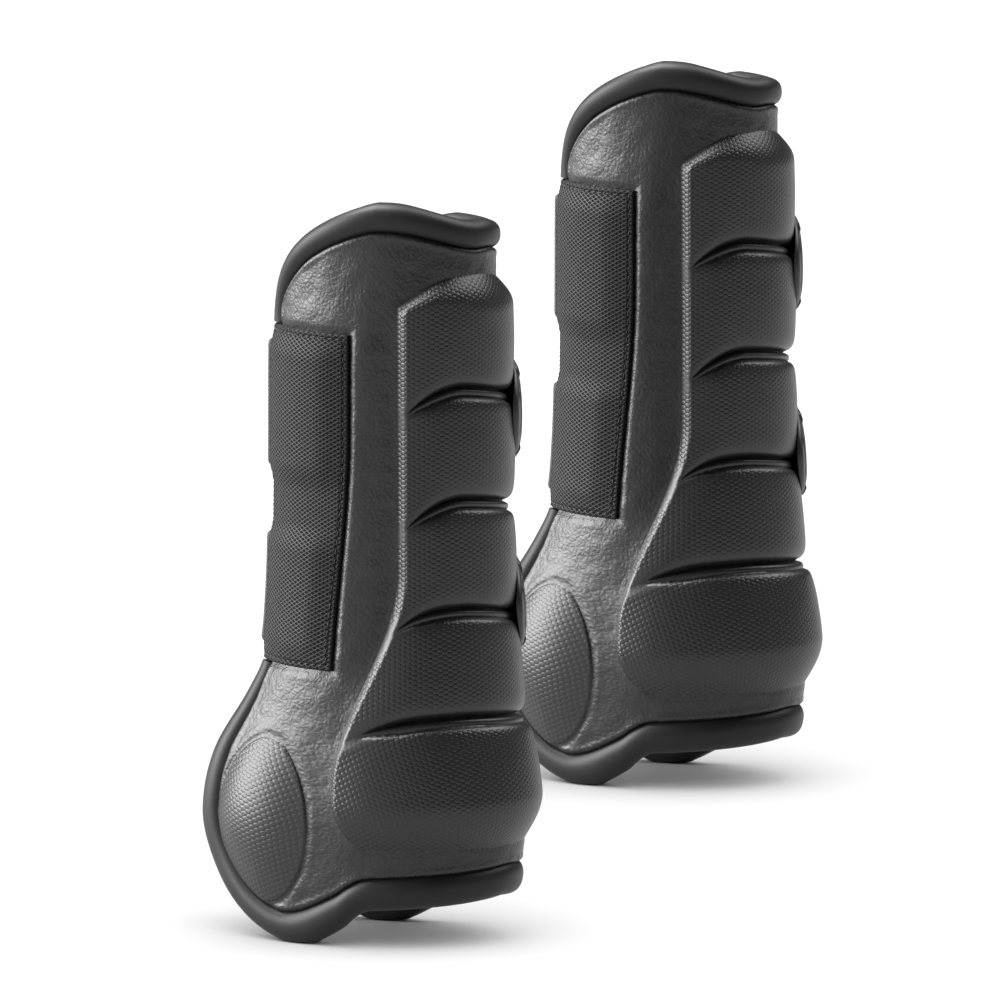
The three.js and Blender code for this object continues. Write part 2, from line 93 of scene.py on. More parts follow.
def along(keys, z):
    """A smooth curve through (height, value) pairs."""
    x, v = np.array(keys, float).T
    at = np.clip(z, x[0], x[-1])
    i = np.clip(np.searchsorted(x, at, side="left") - 1, 0, len(x) - 2)
    low, high = np.maximum(np.arange(len(x)) - 1, 0), np.minimum(np.arange(len(x)) + 1, len(x) - 1)
    slope = (v[high] - v[low]) / (x[high] - x[low])
    span = x[i + 1] - x[i]
    t = (at - x[i]) / span
    return ((2 * t**3 - 3 * t**2 + 1) * v[i] + (t**3 - 2 * t**2 + t) * span * slope[i]
            + (3 * t**2 - 2 * t**3) * v[i + 1] + (t**3 - t**2) * span * slope[i + 1])


def face_point(angle, z):
    a = np.radians(angle)
    reach = np.where(np.cos(a) < 0, along(FRONT_REACH, z), along(BACK_REACH, z))
    return np.stack([reach * np.cos(a), along(SIDE_REACH, z) * np.sin(a), z + 0 * a], -1)


def face_normal(angle, z):
    around = face_point(angle + 0.5, z) - face_point(angle - 0.5, z)
    up = face_point(angle, z + 0.5) - face_point(angle, z - 0.5)
    n = np.cross(around, up)
    return n / np.linalg.norm(n, axis=-1, keepdims=True)


def lifted(angle, z, lift):
    """Points at a height `lift` from the shell's outer face, in millimetres about the boot's axis."""
    angle, z, lift = np.broadcast_arrays(*(np.asarray(x, float) for x in (angle, z, lift)))
    return face_point(angle, z) + face_normal(angle, z) * lift[..., None]


def top_edge(angle, inset):
    side = np.abs(angle)
    level = np.where(angle < 0, mix(TOP_BACK, TOP_INNER_SIDE, smooth((side - 5) / 62)),
                     mix(TOP_BACK, TOP_OUTER_SIDE, smooth(side / 40)))
    drop = np.clip((side - SHOULDER_ANGLE) / (mix(EDGE_ANGLE, RIM_ANGLE, inset) - SHOULDER_ANGLE), 0, 1)
    height = level - inset * RIM_WIDTH - PATCH_TOP
    return PATCH_TOP + height * np.sqrt(1 - drop ** (2 / SHOULDER_ROUNDING))


def bottom_edge(angle, inset):
    side = np.abs(angle)
    floor = inset * LOWER_RIM_WIDTH - (1 - inset) * LOBE_FLAT
    lobe = LOBE_ANGLE + 3 * inset
    forward = np.clip((side - lobe) / (mix(EDGE_ANGLE, RIM_ANGLE, inset) - lobe), 0, 1)
    front = mix(floor, LOBE_FRONT + 3 * inset, 1 - np.sqrt(1 - forward ** (2 / LOBE_ROUNDING)))
    rear = floor + BOTTOM_LOBE_BACK * smooth((lobe - side) / (lobe - LOBE_BACK_ANGLE))
    back = floor + mix(BOTTOM_BACK, BOTTOM_LOBE_BACK, side / LOBE_BACK_ANGLE)
    return np.where(side > lobe, front, np.where(side > LOBE_BACK_ANGLE, rear, back))


def pad_side(z):
    flare = RIB_ANGLE + RIB_SPREAD * smooth((125 - z) / 70)
    return np.where(z < 50, RIB_ANGLE + RIB_SPREAD - 11 * ((50 - z) / 18) ** 2, flare)


def groove_line(groove, angle):
    peak, inner, outer, bend = groove
    past = angle - PEAK_ANGLE
    inner_drop = inner * (np.maximum(-past, 0) / (RIB_ANGLE + PEAK_ANGLE)) ** bend
    return peak - inner_drop - outer * (np.maximum(past, 0) / (RIB_ANGLE - PEAK_ANGLE)) ** OUTER_BEND


def pad_top(angle):
    inner = 10 * (np.maximum(0, -angle - 20) / 40) ** 2
    return RIB_TOP - np.where(angle < -15, inner, 10 * (np.maximum(0, angle + 10) / 70) ** 1.7)


def arc(angle, radius):
    """Length in mm of an arc, from its angle in degrees and its radius in mm."""
    return np.radians(angle) * radius


def arc_mm(angle, z):
    """Rough length round the surface from the back of the leg: the boot is wider at the fetlock."""
    return arc(angle, mix(34, 41, smooth((80 - z) / 45)))


# ---- meshes ----
class Boot:
    """Where one boot stands in the frame, found from its upper strap's hinge."""

    def __init__(self, name):
        self.name = name
        joint = next(j for j in frame["joints"] if j["name"] == f"{name}_upper_strap_swing")
        z = STRAPS["upper"]["height"]
        self.origin = np.array(joint["pos_m"]) - lifted(HINGE_ANGLE, z, HINGE_LIFT) * MM
        self.origin[2] = 0

    def place(self, points_mm):
        return points_mm * MM + self.origin


def in_scene(name, data):
    obj = bpy.data.objects.new(name, data)
    bpy.context.scene.collection.objects.link(obj)
    return obj


def new_object(name, points, faces, uv=None, values=None):
    mesh = bpy.data.meshes.new(name)
    mesh.from_pydata(points.tolist(), [], faces)
    mesh.polygons.foreach_set("use_smooth", [True] * len(mesh.polygons))
    if uv is not None:
        layer = mesh.uv_layers.new(name="surface")
        corner = np.zeros(len(mesh.loops), np.int32)
        mesh.loops.foreach_get("vertex_index", corner)
        layer.data.foreach_set("uv", uv[corner].astype(np.float32).ravel())
    for key, value in (values or {}).items():
        attribute = mesh.attributes.new(key, "FLOAT", "POINT")
        attribute.data.foreach_set("value", value.astype(np.float32).ravel())
    mesh.set_sharp_from_angle(angle=math.radians(48))
    mesh.update()
    return in_scene(name, mesh)


def grid_faces(ny, nx, start, flip=False):
    base = np.arange(start, start + ny * nx).reshape(ny, nx)
    quads = np.stack([base[:-1, :-1], base[:-1, 1:], base[1:, 1:], base[1:, :-1]], -1).reshape(-1, 4)
    return (quads[:, ::-1] if flip else quads).tolist()


def border(ny, nx):
    """The grid's outer loop, as flat numbers, anticlockwise."""
    j, i = np.arange(ny), np.arange(nx)
    return np.concatenate([i[:-1], j[:-1] * nx + nx - 1, (ny - 1) * nx + i[:0:-1], j[:0:-1] * nx])


def slab(name, top, bottom, uv, coarse=1, values=None):
    """A closed sheet with a fine face `top` and a face `bottom` with every `coarse`-th point."""
    (ny, nx), (my, mx) = top.shape[:2], bottom.shape[:2]
    count = ny * nx
    faces = grid_faces(ny, nx, 0) + grid_faces(my, mx, count, flip=True)
    fine, rough = border(ny, nx), border(my, mx) + count
    for m, near in enumerate(rough):
        far = rough[(m + 1) % len(rough)]
        run = [int(fine[(m * coarse + k) % len(fine)]) for k in range(coarse, -1, -1)]
        faces.append(run + [int(near), int(far)])
    points = np.concatenate([top.reshape(-1, 3), bottom.reshape(-1, 3)])
    uvs = np.concatenate([uv.reshape(-1, 2), uv[::coarse, ::coarse].reshape(-1, 2)])
    grown = {k: np.concatenate([v.ravel(), v[::coarse, ::coarse].ravel()]) for k, v in (values or {}).items()}
    return new_object(name, points, faces, uvs, grown)


def surface_slab(boot, name, angle, z, over, under, coarse=1, values=None):
    uv = np.stack([arc_mm(angle, z), z + 0 * angle], -1)
    thin = (slice(None, None, coarse), slice(None, None, coarse))
    over, under = over + 0 * angle, under + 0 * angle
    top = boot.place(lifted(angle, z, over))
    bottom = boot.place(lifted(angle[thin], z[thin], under[thin]))
    return slab(f"{boot.name}_{name}", top, bottom, uv, coarse, values)


CAP = ((0.93, 0.25), (0.8, 0.45), (0.5, 0.6))  # rings of a bar's domed end: share of its width, mm out


def tube(name, rings):
    """A bar through rings of points, closed at both ends with a domed cap."""
    ends = []
    for ring, beyond in ((rings[0], rings[1]), (rings[-1], rings[-2])):
        middle = ring.mean(0)
        outward = middle - beyond.mean(0)
        outward /= max(np.linalg.norm(outward), 1e-9)
        ends.append([middle + (ring - middle) * share + outward * height * MM for share, height in CAP])
    rings = np.concatenate([ends[0][::-1], rings, ends[1]])
    n, m = rings.shape[:2]
    base = np.arange(n * m).reshape(n, m)
    nxt = np.roll(base, -1, axis=1)
    faces = np.stack([base[:-1], nxt[:-1], nxt[1:], base[1:]], -1).reshape(-1, 4).tolist()
    faces += [base[0, ::-1].tolist(), base[-1].tolist()]
    points = rings.reshape(-1, 3)
    length = np.concatenate([[0], np.cumsum(np.linalg.norm(np.diff(rings.mean(1), axis=0), axis=1))])
    uv = np.stack([np.repeat(length[:, None], m, 1), np.repeat(np.arange(m)[None] * 0.9 * MM, n, 0)], -1) / MM
    obj = new_object(name, points, faces, uv.reshape(-1, 2))
    if signed_volume(obj) < 0:
        obj.data.flip_normals()
    return obj


def signed_volume(obj):
    mesh = obj.data
    mesh.calc_loop_triangles()
    return sum(mesh.vertices[a].co.dot(mesh.vertices[b].co.cross(mesh.vertices[c].co))
               for a, b, c in (t.vertices for t in mesh.loop_triangles))


STITCH, STITCH_GAP = 2.2, 0.9  # length of one stitch, and of the gap after it


def stitches(boot, name, path, thickness, body=""):
    """A piece of sewing over straight runs, each given as (start, end, way up), in mm."""
    points, faces = [], []
    for start, end, up in path:
        total = np.linalg.norm(end - start)
        count = max(1, int(total / (STITCH + STITCH_GAP)))
        for k in range(count):
            a = mix(start, end, (k + 0.1) / count)
            b = mix(start, end, (k + 0.1 + 0.8 * STITCH / (STITCH + STITCH_GAP)) / count)
            add_stitch(points, faces, a, b, up, thickness)
    thread = new_object(f"{boot.name}_{name}", boot.place(np.array(points)), faces)
    finish_piece(boot, thread, "thread", body=body)


def add_stitch(points, faces, a, b, up, thickness):
    """One stitch of thread: a low arch with a round section, from a to b."""
    run = b - a
    side = np.cross(run, up)
    side = side / np.linalg.norm(side) * thickness / 2
    first = len(points)
    sections, ring = 5, 6
    for s in range(sections):
        t = s / (sections - 1)
        swell = 0.55 + 0.45 * math.sin(math.pi * t)
        centre = a + run * t + up * (thickness * (0.75 * math.sin(math.pi * t) - 0.2))
        for r in range(ring):
            turn = 2 * math.pi * r / ring
            rise = up * (thickness / 2 * math.sin(turn) * swell)
            points.append(centre + side * math.cos(turn) * swell + rise)
    for s in range(sections - 1):
        for r in range(ring):
            p, q = first + s * ring + r, first + s * ring + (r + 1) % ring
            faces.append([p, p + ring, q + ring, q])
    faces.append([first + r for r in range(ring)])
    faces.append([first + (sections - 1) * ring + r for r in reversed(range(ring))])


# ---- small patterns ----
def crowded(count, share):
    """Steps from -1 to 1 that lie closer together towards both ends, by a share."""
    t = np.linspace(-1, 1, count + 1)
    return mix(t, np.sin(t * math.pi / 2), share)


def wavy(s, z, size, seed):
    """Soft rolling noise between -1 and 1, made of a few seeded waves."""
    rng = np.random.RandomState(seed)
    total = 0
    for _ in range(7):
        turn, phase, scale = rng.uniform(0, math.pi), rng.uniform(0, 6.3), rng.uniform(0.7, 1.6)
        total = total + np.sin((s * math.cos(turn) + z * math.sin(turn)) * TURN / (size * scale) + phase)
    return total / 7 * 1.6


def rounded(distance, radius):
    """Height share of a rounded edge at a distance from it: 0 on the edge, 1 past the radius."""
    t = np.clip(distance / radius, 0, 1)
    return np.sqrt(1 - (1 - t) ** 2)


# ---- shapes of the moulded skin ----
def oval_radius(side, angle, z):
    """How far out a point is from a fetlock pad's middle: 1 on its outline."""
    return np.hypot((angle * side - PAD_ANGLE) / PAD_HALF_ANGLE, (z - PAD_HEIGHT) / PAD_HALF_HEIGHT)


def patch_side(z):
    return mix(93.5, 86, smooth((z - PATCH_BOTTOM) / 80))


def patch_distance(angle, z):
    """Distance in mm outside the mesh panel's outline, negative inside it."""
    beside = arc(angle + patch_side(z), 35)
    return np.maximum(np.maximum(beside, z - PATCH_TOP), PATCH_BOTTOM - z)


def skin_lift(angle, z):
    """Height of the leather-grained skin over the plain oval."""
    s = arc_mm(angle, z)
    lift = 0.12 * wavy(s, z, 9, 4) + 0.05 * wavy(s, z, 3.1, 5)
    # It swells into a lip round the mesh panel, highest beside the panel's back edge.
    out = patch_distance(angle, z)
    lip = np.where(out < 2.6, smooth((out + 0.4) / 3.0), 1 - smooth((out - 2.6) / 17) ** 0.8)
    beside = smooth((PATCH_TOP + 3 - z) / 9) * smooth((z - PATCH_BOTTOM + 3) / 9)
    lift += np.where(angle < -45, mix(0.7, 1.9, beside) * lip, 0)
    # A fine crease runs round each fetlock pad, with a low swell outside it.
    for side in (-1, 1):
        r = oval_radius(side, angle, z)
        lift += np.where(angle * side > 60, -0.35 * np.exp(-((r - 1.02) / 0.025) ** 2), 0)
        lift += np.where(angle * side > 60, 0.12 * np.exp(-((r - 1.12) / 0.07) ** 2), 0)
    # A low bead follows the tendon pad's two sides.
    beyond_pad = arc(np.abs(angle) - pad_side(z), 38)
    beside_pad = smooth((z - RIB_BOTTOM + 2) / 4) * smooth((RIB_TOP - 8 - z) / 8)
    lift += 0.5 * np.exp(-np.maximum(beyond_pad, 0) / 1.6) * beside_pad * (beyond_pad > -3)
    return lift


def make_skin(boot):
    nx, ny, coarse = 264, 264, 4
    reach = RIM_ANGLE + 0.3
    angle, share = np.meshgrid(crowded(nx, 0.5) * reach, np.linspace(0, 1, ny + 1))
    low = bottom_edge(np.minimum(np.abs(angle), RIM_ANGLE) * np.sign(angle), 1)
    high = top_edge(angle, 1)
    z = mix(low - 0.2, high + 0.2, share)
    edge = np.minimum(np.minimum(z - low, high - z) + 0.2, (reach - np.abs(angle)) * EDGE_MM)
    over = skin_lift(angle, z) - 1.3 * (1 - rounded(edge, 1.5)) + 0.3 * np.exp(-((edge - 1.8) / 0.9) ** 2)
    skin = surface_slab(boot, "leather_skin", angle, z, over, -SHELL_WALL, coarse)
    finish_piece(boot, skin, "leather", ["outer_shell"])


# Section across a groove: height over and under its crease, and how deep it lies. A narrow tucked band
# lies below the crease, with a second, finer crease under it.
GROOVE_SECTION = [(-10, 0), (-7, 0.1), (-5, 0.4), (-3.9, 1.0), (-3.3, 1.9), (-3.0, 2.5), (-2.7, 2.15),
                  (-1.9, 1.8), (-1.0, 1.9), (-0.35, 2.9), (0, 3.7), (0.35, 3.3), (0.9, 2.0), (1.8, 1.0),
                  (3.2, 0.35), (6, 0.05), (9, 0)]


def pad_bounds(angle):
    """Heights of the pad's top, grooves and bottom, from the bottom up."""
    grooves = [groove_line(groove, angle) for groove in reversed(GROOVES)]
    return [RIB_BOTTOM - 1 + 0 * angle, *grooves, pad_top(angle) + 0.3]


def pad_lift(angle, z):
    """Height of the ribbed tendon pad over the plain oval."""
    inward = arc(pad_side(z) - np.abs(angle), mix(35, 43, smooth((90 - z) / 40)))
    bounds = pad_bounds(angle)
    relief = mix(RIB_RELIEF, BULGE_RELIEF, smooth((bounds[1] - z) / 4))
    depth, barrel = 0, 0
    # Each rib is barrelled between its grooves, and the grooves fade out towards the pad's sides.
    for lower, upper in zip(bounds, bounds[1:]):
        t = (z - lower) / (upper - lower)
        barrel = np.maximum(barrel, 1 - (2 * t - 1) ** 2)
    for line, onset in zip(bounds[1:-1], (6, 2.2, 2.2, 2.2)):
        step, strength = z - line, smooth((inward - onset) / 13) ** 0.6
        width = np.where(step < 0, 0.22 + 0.78 * strength, 0.5 + 0.5 * strength)
        depth = np.maximum(depth, along(GROOVE_SECTION, step / width) * strength)
    lift = relief * 0.93 + 0.9 * barrel * smooth(inward / 14) - depth
    # The top edge is bevelled, most at the back, and the bottom runs out into the shell.
    bevel = mix(13, 4, smooth(np.abs(angle) / RIB_ANGLE))
    top = np.clip((pad_top(angle) - z) / bevel, 0, 1)
    lift = lift * (1 - (1 - top) ** 2) - 0.8 * (1 - rounded(top * bevel, 0.8))
    below = smooth((z - RIB_BOTTOM + 0.5) / 17) ** 0.62
    edge = 0.5 * rounded(inward + 0.2, 3.3) + 0.5 * smooth((inward + 0.2) / 3.6)
    lift = lift * below * mix(0.1, 1, edge) - 0.7 * (1 - rounded(inward + 0.2, 1.2)) - 0.8 * (1 - below)
    return lift + 0.05 * wavy(arc_mm(angle, z), z, 14, 8)


def make_tendon_pad(boot):
    nx, rows, coarse = 200, 75, 5
    t = np.linspace(0, 1, rows + 1)[1:]
    level = np.concatenate([[0]] + [k + mix(t, smooth(t), 0.75) for k in range(len(GROOVES) + 1)])
    across, level = np.meshgrid(crowded(nx, 0.4), level)
    band = np.minimum(level.astype(int), len(GROOVES))
    angle = across * RIB_ANGLE
    # The pad's sides depend on the height and its grooves on the angle, so the two settle in rounds.
    for _ in range(14):
        bounds = np.stack(pad_bounds(angle))
        lower, upper = (np.take_along_axis(bounds, (band + k)[None], 0)[0] for k in (0, 1))
        z = mix(lower, upper, level - band)
        angle = across * (pad_side(z) + 0.4)
    # The dots, with the painted shade between them, are weaker at the back of the leg and beside the grooves.
    to_groove = np.min([np.abs(z - groove_line(g, angle)) for g in GROOVES], axis=0)
    dots = mix(0.55, 1, smooth((np.abs(angle) - 5) / 30)) * mix(0.25, 1, smooth((to_groove - 2) / 4))
    pad = surface_slab(boot, "tendon_pad", angle, z, pad_lift(angle, z), -1.2, coarse, {"dots": dots})
    finish_piece(boot, pad, "pebble", [*(f"tendon_rib_{i}" for i in range(1, 5)), "fetlock_bulge"])


def make_fetlock_pad(boot, side, word):
    spokes, rings = 160, 44
    turn = np.arange(spokes) / spokes * 2 * math.pi
    r = np.linspace(0, 1, rings + 1)[1:, None]
    out_angle = np.minimum(PAD_ANGLE + PAD_HALF_ANGLE * np.cos(turn), RIM_ANGLE - 0.2)
    out_z = np.maximum(PAD_HEIGHT + PAD_HALF_HEIGHT * np.sin(turn), bottom_edge(out_angle, 1) + 0.3)
    angle = np.concatenate([[PAD_ANGLE], mix(PAD_ANGLE, out_angle, r).ravel()]) * side
    z = np.concatenate([[PAD_HEIGHT], mix(PAD_HEIGHT, out_z, r).ravel()])
    radius = np.concatenate([[0], np.repeat(r[:, 0], spokes)])
    dome = 0.35 + 3.3 * (1 - radius**2) ** 1.3
    lift = dome * rounded((1 - radius) * 21 + 0.1, 1.4) - 0.7 * (radius > 0.985)
    count = len(angle)
    under = lifted(angle, z, -1.0)
    points = np.concatenate([lifted(angle, z, lift), under])
    faces = []
    index = lambda ring, k: 1 + ring * spokes + k % spokes
    for k in range(spokes):
        faces.append([0, index(0, k), index(0, k + 1)])
        for ring in range(rings - 1):
            faces.append([index(ring, k), index(ring + 1, k), index(ring + 1, k + 1), index(ring, k + 1)])
    faces += [[i + count for i in reversed(f)] for f in list(faces)]
    for k in range(spokes):
        a, b = index(rings - 1, k), index(rings - 1, k + 1)
        faces.append([a, a + count, b + count, b])
    uv = np.stack([arc_mm(angle, z), z], -1)
    # The fetlock pad's dots, with the painted shade between them, have one strength all over.
    pad = new_object(f"{boot.name}_{word}_fetlock_pad_skin", boot.place(points), faces,
                     np.concatenate([uv, uv]), {"dots": np.full(2 * count, 0.7)})
    if signed_volume(pad) < 0:
        pad.data.flip_normals()
    finish_piece(boot, pad, "pebble", [f"{word}_fetlock_pad"])


# ---- rims ----
def bar_section(count, middle, half, squareness):
    """A bar's rounded section: share of the way out from the shell's edge, and height from its face."""
    turn = np.arange(count) / count * 2 * math.pi
    c, s = np.cos(turn), np.sin(turn)
    c, s = (np.sign(v) * np.abs(v) ** n for v, n in zip((c, s), squareness))
    return np.stack([middle[0] + half[0] * c, middle[1] + half[1] * s], -1)


RIM_SECTION = bar_section(40, (0.47, -3.8), (0.52, 5.4), (0.86, 0.86))
EDGE_SECTION = bar_section(32, (0.5, -4.4), (0.52, 4.7), (0.7, 0.6))


def sweep(boot, name, out, inn, section):
    """A bar along stations; out and inn are (angle, z) of its outer and inner edge."""
    share, lift = section[:, 0][None], section[:, 1][None]
    angle = mix(inn[:, 0:1], out[:, 0:1], share)
    z = mix(inn[:, 1:2], out[:, 1:2], share)
    rings = lifted(angle, z, lift + 0 * angle)
    rings[..., 2] = np.maximum(rings[..., 2], 0)
    return tube(f"{boot.name}_{name}", boot.place(rings))


def corner(side, middle, rounding, front, edge):
    """Stations round a corner of the outline, from its height at the boot's front to the level edge."""
    turn = np.linspace(0, math.pi / 2, 60)
    stations = []
    for inset in (0, 1):
        start = middle[inset]
        reach = mix(EDGE_ANGLE, RIM_ANGLE, inset) - start
        angle = side * (start + reach * np.cos(turn) ** rounding)
        z = mix(front[inset], edge(np.array(side * start), inset), np.sin(turn))
        stations.append(np.stack([angle, z], -1))
    return stations


def join(*runs):
    return [np.concatenate([run[k] for run in runs]) for k in (0, 1)]


def level_run(edge, low, high, steps):
    angle = np.linspace(low, high, steps)[1:-1]
    return [np.stack([angle, edge(angle, inset)], -1) for inset in (0, 1)]


def upright(side, z):
    """Stations along the boot's straight front edge."""
    return [np.stack([0 * z + side * edge, z], -1) for edge in (EDGE_ANGLE, RIM_ANGLE)]


def backwards(stations):
    return [run[::-1] for run in stations]


def make_upper_rim(boot):
    left, right = (corner(side, [SHOULDER_ANGLE] * 2, SHOULDER_ROUNDING, [PATCH_TOP + 0.3] * 2, top_edge)
                   for side in (-1, 1))
    middle = level_run(top_edge, -SHOULDER_ANGLE, SHOULDER_ANGLE, 110)
    out, inn = join(left, middle, backwards(right))
    finish_piece(boot, sweep(boot, "upper_rolled_rim", out, inn, RIM_SECTION), "rim", ["upper_rim"])


def lobe_run(side):
    """Stations down one side of the boot's front, round the lobe and back to the level edge."""
    z = np.linspace(PATCH_BOTTOM - 0.3, LOBE_FRONT + 3, 40)
    straight = upright(side, z)
    middle, level = [LOBE_ANGLE, LOBE_ANGLE + 3], [LOBE_FRONT, LOBE_FRONT + 3]
    front = corner(side, middle, LOBE_ROUNDING, level, bottom_edge)
    t = np.linspace(0, 1, 26)[1:]
    rear = []
    for inset in (0, 1):
        angle = side * mix(LOBE_ANGLE + 3 * inset, LOBE_BACK_ANGLE, t)
        rear.append(np.stack([angle, bottom_edge(angle, inset)], -1))
    return join([run[:-1] for run in straight], front, rear)


def make_lower_rim(boot):
    middle = level_run(bottom_edge, -LOBE_BACK_ANGLE, LOBE_BACK_ANGLE, 90)
    out, inn = join(lobe_run(-1), middle, backwards(lobe_run(1)))
    finish_piece(boot, sweep(boot, "lower_rolled_rim", out, inn, RIM_SECTION), "rim", ["lower_rim"])


def make_front_edge(boot, side, word):
    z = np.linspace(PATCH_BOTTOM + 0.3, PATCH_TOP - 0.3, 60)
    out, inn = upright(side, z)
    edge = sweep(boot, f"{word}_front_edge_bead", out, inn, EDGE_SECTION)
    finish_piece(boot, edge, "rim", [f"{word}_front_edge"])


# ---- fabric panel ----
MESH_WIDE, MESH_TALL = 2.2, 1.45  # size of one diamond of the open mesh
PANEL_EDGE = 147.3  # where the panel ends beside the boot's front edge
SEAM_INSET = 1.7  # how far inside the panel's edges it is sewn


def mesh_threads(s, z):
    """Height share of the two crossing thread families."""
    ridges = []
    for sign in (-1, 1):
        wave = np.abs(((s / MESH_WIDE + sign * z / MESH_TALL) % 1) - 0.5) * 2
        ridges.append(smooth((wave - 0.45) / 0.45))
    return np.maximum(*ridges)


def over_strap(z):
    shares = [smooth((s["half"] + 6 - np.abs(z - s["height"])) / 9) for s in STRAPS.values()]
    return np.maximum(*shares)


def make_mesh_panel(boot):
    nx, ny, coarse = 160, 380, 5
    across, share = np.meshgrid(np.linspace(0, 1, nx + 1), np.linspace(0, 1, ny + 1))
    z = mix(PATCH_BOTTOM + 0.4, PATCH_TOP - 0.4, share)
    angle = mix(-PANEL_EDGE, -patch_side(z), across)
    s = arc_mm(angle, z)
    rise = over_strap(z) * smooth((1 - across) / 0.3)
    inward = np.minimum(np.minimum(across, 1 - across) * 41,
                        np.minimum(z - PATCH_BOTTOM, PATCH_TOP - z) - 0.4)
    seam = np.exp(-((inward - SEAM_INSET) / 0.5) ** 2)
    over = mix(1.35, 2.85, rise) - 0.3 * seam + 0.13 * mesh_threads(s, z) * rounded(inward, 1.2)
    over -= 0.7 * (1 - rounded(inward, 0.9))
    under = mix(0.25, 1.75, rise)
    hem = smooth((3.0 - inward) / 0.8)
    panel = surface_slab(boot, "mesh_panel", angle, z, over, under, coarse, {"hem": hem})
    finish_piece(boot, panel, "mesh", ["mesh_patch"])


def panel_height(angle, z):
    """Height of the panel's face along its seam: it rises over the two straps sewn under it."""
    return 1.25 + 1.5 * float(over_strap(np.array(z)) * smooth(np.array((-angle - 88) / 16)))


def make_panel_stitches(boot):
    """Lines of thread inside the panel's edges."""
    inset = math.degrees(SEAM_INSET / 36)
    front = -PANEL_EDGE + inset
    back = lambda z: -float(patch_side(z)) - inset
    down = np.linspace(PATCH_TOP - 1.8, PATCH_BOTTOM + 1.8, 37)
    lines = [[(back(z), z) for z in down], [(front, z) for z in down]]
    for z in (PATCH_TOP - 2.1, PATCH_BOTTOM + 2.1):
        lines.append([(a, z) for a in np.linspace(front, back(z), 13)])
    path = []
    for line in lines:
        for start, end in zip(line, line[1:]):
            way_up = face_normal(*(np.array(float(v)) for v in start))
            path.append((*(lifted(*at, panel_height(*at)) for at in (start, end)), way_up))
    stitches(boot, "panel_stitches", path, 0.4)


# ---- straps ----
ELASTIC_SPAN, TAB_END = (147, 214.5), 156.5  # degrees round the leg where webbing and tab lie
SWING_BEND, PEEL_BEND = (208.3, 196), (151.2, 139)  # where webbing and tab bend as their joints turn
LOOP_MARGIN = 1.2  # how far the loop tape reaches past the strap on each side


def strap_band(strap, angle):
    share = np.clip((360 - ELASTIC_START - angle) / (360 - ELASTIC_START - STRAP_TIP), 0, 1)
    return mix(strap["height"], strap["tip_height"], share), mix(strap["half"], strap["tip_half"], share)


def strap_grid(strap, start, end, columns, rows, margin=0.0, round_tip=False):
    """Angles, heights and half widths over a strap, and each point's distance from its centre line."""
    crowding = 1.5 if start < TIP_START - 5 else 1
    a, b = np.meshgrid(np.linspace(0, 1, columns + 1) ** crowding, np.linspace(-1, 1, rows + 1))
    a = mix(start, end, a)
    centre, half = strap_band(strap, a)
    half = half - margin
    if round_tip:
        half = half * np.sqrt(1 - (1 - np.clip((a - STRAP_TIP + 1.1) / TIP_ROUND, 0, 1)) ** 2)
    return a, centre + b * half, half, b * half


def elastic_under(angle):
    return mix(0.8, 3.4, smooth((360 - ELASTIC_START - angle) / 50))


def bend(boot, piece, bodies, height, angles, lift):
    """Bakes a piece's placement into its mesh; the stretch of the strap where it would bend is worked out but
    not used.
    """
    start, end = (tuple(boot.place(lifted(angle, height, lift))) for angle in angles)
    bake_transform(piece)


def make_elastic(boot, word, strap):
    """Ribbed elastic webbing, sewn under the mesh panel and running across the front."""
    angle, z, half, offset = strap_grid(strap, *ELASTIC_SPAN, 104, 120)
    inward = half - np.abs(offset)
    rib = 0.5 + 0.5 * np.cos(offset * TURN / 1.25)
    thickness = mix(1.5, 2.0, smooth((angle - 150) / 6)) * mix(1, 0.72, smooth((angle - 211) / 2))
    over = elastic_under(angle) + thickness + 0.1 * rib * (inward > 1.6) + 0.03 * wavy(offset, angle, 2, 3)
    over -= 0.9 * (1 - rounded(inward + 0.05, 1.0))
    under = elastic_under(angle) + 0.15 + 0 * angle
    elastic = surface_slab(boot, f"{word}_elastic_webbing", angle, z, over, under, 4)
    finish_piece(boot, elastic, "webbing", [f"{word}_strap_elastic"], body=None)
    bend(boot, elastic, ("", f"_{word}_elastic"), strap["height"], SWING_BEND, 2)


def tip_crown(angle, across):
    """Share of the strap's thickness left towards the side edges of its rounded end."""
    round_share = np.sqrt(np.maximum(1 - across**2, 0))
    return mix(mix(0.3, 1, round_share), 1, smooth((angle - 40) / 25))


def tab_under(angle):
    down = mix(6.1, 3.6, smooth((angle - 58) / 18))
    return down + 1.75 * smooth((angle - 143) / 6)


def make_tab(boot, word, strap):
    """The moulded rubber tab, with a bead round its border, over the outer side of the boot."""
    angle, z, half, offset = strap_grid(strap, TIP_START - 2, TAB_END, 220, 84, round_tip=True)
    inward = np.minimum(half - np.abs(offset), (TAB_END - angle) * EDGE_MM)
    bead = np.exp(-((inward - 2.0) / 0.75) ** 2)
    thickness = mix(2.1, 1.5, smooth((angle - 143) / 6)) * tip_crown(angle, offset / half)
    over = tab_under(angle) + thickness + 0.35 * bead - 0.25 * smooth((inward - 3.2) / 1.5)
    over -= 1.0 * (1 - rounded(inward + 0.05, 1.1))
    tab = surface_slab(boot, f"{word}_rubber_tab", angle, z, over, tab_under(angle) + 0.1, 4)
    finish_piece(boot, tab, "rubber", [f"{word}_strap_tab"], body=None)
    height = float(strap_band(strap, np.array(150.0))[0])
    bend(boot, tab, (f"_{word}_elastic", f"_{word}_tab"), height, PEEL_BEND, 6)


